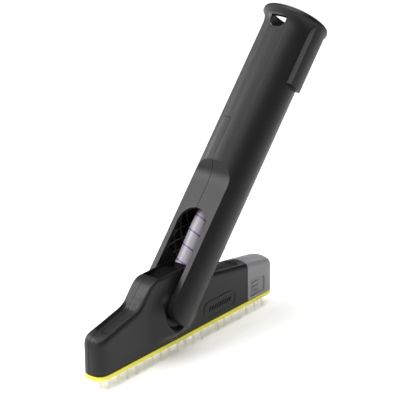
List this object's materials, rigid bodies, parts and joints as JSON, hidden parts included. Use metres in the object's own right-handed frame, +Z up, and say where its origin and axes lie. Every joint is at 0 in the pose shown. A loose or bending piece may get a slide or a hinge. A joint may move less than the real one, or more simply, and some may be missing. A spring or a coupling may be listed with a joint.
{
  "type": "carpet brush nozzle",
  "caption": "Narrow carpet and floor brush head on a swivelling tubular neck, with a bristled base strip, an air hose inside the fork and a pull-off end cap.",
  "frame": {"origin": "on the floor under the middle of the head, on the flat tip of the bristle tuft there", "axes": "+Z up, +X along the head towards the end cap and the way the neck leans, +Y to the far side"},
  "size_m": [0.235, 0.0472, 0.214],
  "materials": {
    "charcoal_shell": "fine-textured moulded charcoal plastic",
    "charcoal_inner": "smooth moulded charcoal plastic",
    "grey_cap": "fine-textured moulded mid-grey plastic",
    "yellow_base": "satin yellow plastic",
    "bristle": "translucent pale nylon",
    "hose": "white flexible plastic with a purple spiral",
    "bearing": "unfilled acetal",
    "seal_rubber": "soft black rubber",
    "screw_steel": "zinc-plated"
  },
  "bodies": {
    "head": {"head_shell_near": "charcoal_shell", "head_shell_far": "charcoal_shell", "brush_plate": "yellow_base", "bristle_row_near": "bristle", "bristle_row_far": "bristle", "bristle_patch_centre": "bristle", "bristle_patch_left": "bristle", "bristle_patch_right": "bristle", "pivot_bush_near": "bearing", "pivot_bush_far": "bearing", "head_screw_1": "screw_steel", "head_screw_2": "screw_steel", "head_screw_3": "screw_steel", "head_screw_4": "screw_steel"},
    "neck": {"neck_body": "charcoal_shell", "neck_cover": "charcoal_shell", "swivel_hub": "charcoal_inner", "hose": "hose", "hose_collar": "charcoal_inner", "socket_seal": "seal_rubber", "friction_washer_near": "bearing", "friction_washer_far": "bearing", "neck_screw_1": "screw_steel", "neck_screw_2": "screw_steel", "neck_screw_3": "screw_steel"},
    "end_cap": {"end_cap": "grey_cap"}
  },
  "joints": [
    {"name": "neck_tilt", "type": "hinge", "parent": "head", "child": "neck", "pos_m": [-0.015, 0, 0.0359], "axis": [0, 1, 0], "range_deg": [-60, 0]},
    {"name": "end_cap_pull", "type": "slide", "parent": "head", "child": "end_cap", "axis": [1, 0, 0], "range_m": [0, 0.03]}
  ]
}
